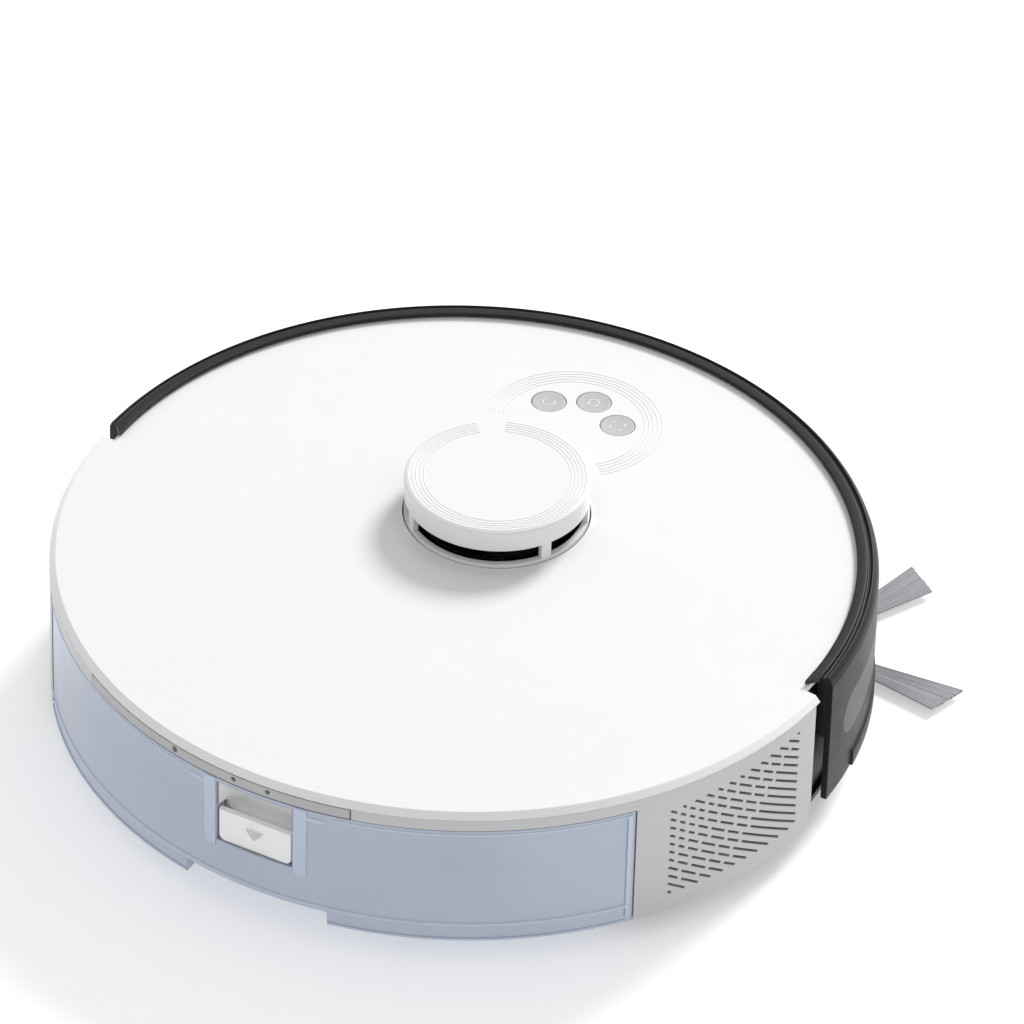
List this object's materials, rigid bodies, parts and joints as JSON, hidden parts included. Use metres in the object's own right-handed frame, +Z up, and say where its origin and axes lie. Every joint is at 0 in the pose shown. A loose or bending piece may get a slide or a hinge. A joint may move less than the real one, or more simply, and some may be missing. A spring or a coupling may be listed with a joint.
{
  "type": "robot vacuum",
  "caption": "Round robot vacuum with a spinning lidar turret, pressing front bumper, sprung drive wheels, brushes and a slide-out dust and water tank.",
  "frame": {"origin": "on the body's vertical axis, at floor level", "axes": "+Z up; front (bumper) faces -Y, the tank slides out along +Y, the side brush is on -X"},
  "size_m": [0.3518, 0.3423, 0.097],
  "materials": {
    "white_shell": "satin white moulding",
    "grey_trim": "light grey moulding",
    "panel_grey": "pale grey moulding",
    "charcoal_shell": "fine-grained charcoal moulding",
    "dark_plastic": "black engineering plastic",
    "black_gloss": "glossy infrared-pass plastic",
    "window_grey": "smoked grey window",
    "tank_blue": "translucent pale blue-grey",
    "button_grey": "light grey button",
    "steel": "bright steel",
    "motor_can": "zinc-plated can",
    "brass": "machined brass",
    "gold_contact": "gold-plated pad",
    "tyre_rubber": "moulded tread",
    "black_rubber": "soft moulded rubber",
    "circuit_green": "solder-masked board",
    "battery_blue": "shrink sleeve",
    "orange_soft": "soft orange moulding",
    "orange_guard": "orange moulding",
    "bristle_grey": "flat nylon bristles",
    "pleated_filter": "pleated paper media",
    "caster_white": "white roller"
  },
  "bodies": {
    "chassis": {"base_pan": "dark_plastic", "mid_frame": "dark_plastic", "tank_bay": "dark_plastic", "top_cover": "white_shell", "side_frame": "panel_grey", "rear_trim": "grey_trim", "suspension_pins": "steel", "suspension_springs": "steel", "battery": "battery_blue", "battery_door": "dark_plastic", "main_board": "circuit_green", "fan_housing": "dark_plastic", "fan_motor": "motor_can", "speaker": "dark_plastic", "brush_gearbox": "dark_plastic", "brush_motor": "motor_can", "brush_guard": "orange_guard", "side_brush_motor": "dark_plastic", "lidar_base": "dark_plastic", "lidar_motor": "motor_can", "lidar_belt": "black_rubber", "cap_springs": "steel", "button_board": "circuit_green", "cliff_sensors": "black_gloss", "charging_contacts": "gold_contact", "bumper_switches": "dark_plastic", "base_screws": "steel", "bumper_springs": "steel"},
    "arm_left": {"wheel_arm_left": "dark_plastic", "drive_motor_left": "motor_can"},
    "pinion_left": {"drive_pinion_left": "brass"},
    "wheel_left": {"wheel_hub_left": "dark_plastic", "tyre_left": "tyre_rubber"},
    "arm_right": {"wheel_arm_right": "dark_plastic", "drive_motor_right": "motor_can"},
    "pinion_right": {"drive_pinion_right": "brass"},
    "wheel_right": {"wheel_hub_right": "dark_plastic", "tyre_right": "tyre_rubber"},
    "caster_body": {"caster_fork": "dark_plastic", "caster_axle": "steel"},
    "caster_roller": {"caster_wheel": "caster_white"},
    "main_brush": {"main_brush_core": "dark_plastic", "main_brush_bristles": "orange_soft"},
    "side_brush": {"side_brush_hub": "dark_plastic", "side_brush_bristles": "bristle_grey"},
    "impeller": {"fan_impeller": "caster_white"},
    "lidar": {"lidar_rotor": "black_gloss"},
    "lidar_drive": {"lidar_pulley": "caster_white"},
    "turret": {"turret_cap": "white_shell"},
    "key_left": {"button_left": "button_grey"},
    "key_middle": {"button_middle": "button_grey"},
    "key_right": {"button_right": "button_grey"},
    "bumper": {"bumper_shell": "charcoal_shell", "bumper_windows": "window_grey"},
    "tank": {"tank_shell": "tank_blue", "dust_box": "dark_plastic", "dust_lid": "dark_plastic", "filter": "pleated_filter", "water_plug": "black_rubber"},
    "latch": {"tank_latch": "white_shell"},
    "flap": {"inlet_flap": "dark_plastic"}
  },
  "joints": [
    {"name": "suspension_left", "type": "hinge", "parent": "chassis", "child": "arm_left", "pos_m": [0.1, -0.045, 0.028], "axis": [-1, 0, 0], "range_deg": [0, 12], "stiffness_Nm_per_rad": 0.9, "springref_deg": 20.05},
    {"name": "wheel_spin_left", "type": "hinge", "parent": "arm_left", "child": "wheel_left", "pos_m": [0.118, 0.005, 0.0325], "axis": [1, 0, 0], "continuous": true},
    {"name": "pinion_spin_left", "type": "hinge", "parent": "arm_left", "child": "pinion_left", "pos_m": [0.098, -0.0175, 0.0325], "axis": [1, 0, 0], "continuous": true},
    {"name": "suspension_right", "type": "hinge", "parent": "chassis", "child": "arm_right", "pos_m": [-0.1, -0.045, 0.028], "axis": [-1, 0, 0], "range_deg": [0, 12], "stiffness_Nm_per_rad": 0.9, "springref_deg": 20.05},
    {"name": "wheel_spin_right", "type": "hinge", "parent": "arm_right", "child": "wheel_right", "pos_m": [-0.118, 0.005, 0.0325], "axis": [1, 0, 0], "continuous": true},
    {"name": "pinion_spin_right", "type": "hinge", "parent": "arm_right", "child": "pinion_right", "pos_m": [-0.098, -0.0175, 0.0325], "axis": [1, 0, 0], "continuous": true},
    {"name": "caster_swivel", "type": "hinge", "parent": "chassis", "child": "caster_body", "pos_m": [0, -0.128, 0.03], "axis": [0, 0, 1], "continuous": true},
    {"name": "caster_roll", "type": "hinge", "parent": "caster_body", "child": "caster_roller", "pos_m": [0, -0.123, 0.011], "axis": [1, 0, 0], "continuous": true},
    {"name": "main_brush_spin", "type": "hinge", "parent": "chassis", "child": "main_brush", "pos_m": [0, 0.032, 0.02], "axis": [1, 0, 0], "continuous": true},
    {"name": "side_brush_spin", "type": "hinge", "parent": "chassis", "child": "side_brush", "pos_m": [-0.1085, -0.0995, 0.006], "axis": [0, 0, 1], "continuous": true},
    {"name": "impeller_spin", "type": "hinge", "parent": "chassis", "child": "impeller", "pos_m": [-0.116, 0.0715, 0.04], "axis": [1, 0, 0], "continuous": true},
    {"name": "lidar_spin", "type": "hinge", "parent": "chassis", "child": "lidar", "pos_m": [0, -0.027, 0.08], "axis": [0, 0, 1], "continuous": true},
    {"name": "lidar_pulley_spin", "type": "hinge", "parent": "chassis", "child": "lidar_drive", "pos_m": [0.05, -0.027, 0.0735], "axis": [0, 0, 1], "continuous": true},
    {"name": "turret_press", "type": "slide", "parent": "chassis", "child": "turret", "axis": [0, 0, -1], "range_m": [0, 0.0015], "stiffness_N_per_m": 900, "springref_m": -0.0012, "deforming": ["cap_springs"]},
    {"name": "button_left_press", "type": "slide", "parent": "chassis", "child": "key_left", "axis": [0, 0, -1], "range_m": [0, 0.0007], "stiffness_N_per_m": 1200, "springref_m": -0.0006},
    {"name": "button_middle_press", "type": "slide", "parent": "chassis", "child": "key_middle", "axis": [0, 0, -1], "range_m": [0, 0.0007], "stiffness_N_per_m": 1200, "springref_m": -0.0006},
    {"name": "button_right_press", "type": "slide", "parent": "chassis", "child": "key_right", "axis": [0, 0, -1], "range_m": [0, 0.0007], "stiffness_N_per_m": 1200, "springref_m": -0.0006},
    {"name": "bumper_press", "type": "slide", "parent": "chassis", "child": "bumper", "axis": [0, 1, 0], "range_m": [0, 0.0035], "stiffness_N_per_m": 900, "springref_m": -0.003},
    {"name": "tank_slide", "type": "slide", "parent": "chassis", "child": "tank", "axis": [0, 1, 0], "range_m": [0, 0.125]},
    {"name": "latch_press", "type": "slide", "parent": "tank", "child": "latch", "axis": [0, -1, 0], "range_m": [0, 0.003], "stiffness_N_per_m": 800, "springref_m": -0.002},
    {"name": "flap_swing", "type": "hinge", "parent": "tank", "child": "flap", "pos_m": [0, 0.0634, 0.0444], "axis": [1, 0, 0], "range_deg": [0, 55]}
  ],
  "couplings": [
    {"joint": "pinion_spin_left", "follows": "wheel_spin_left", "ratio": -3.5},
    {"joint": "pinion_spin_right", "follows": "wheel_spin_right", "ratio": -3.5},
    {"joint": "lidar_pulley_spin", "follows": "lidar_spin", "ratio": 5}
  ]
}
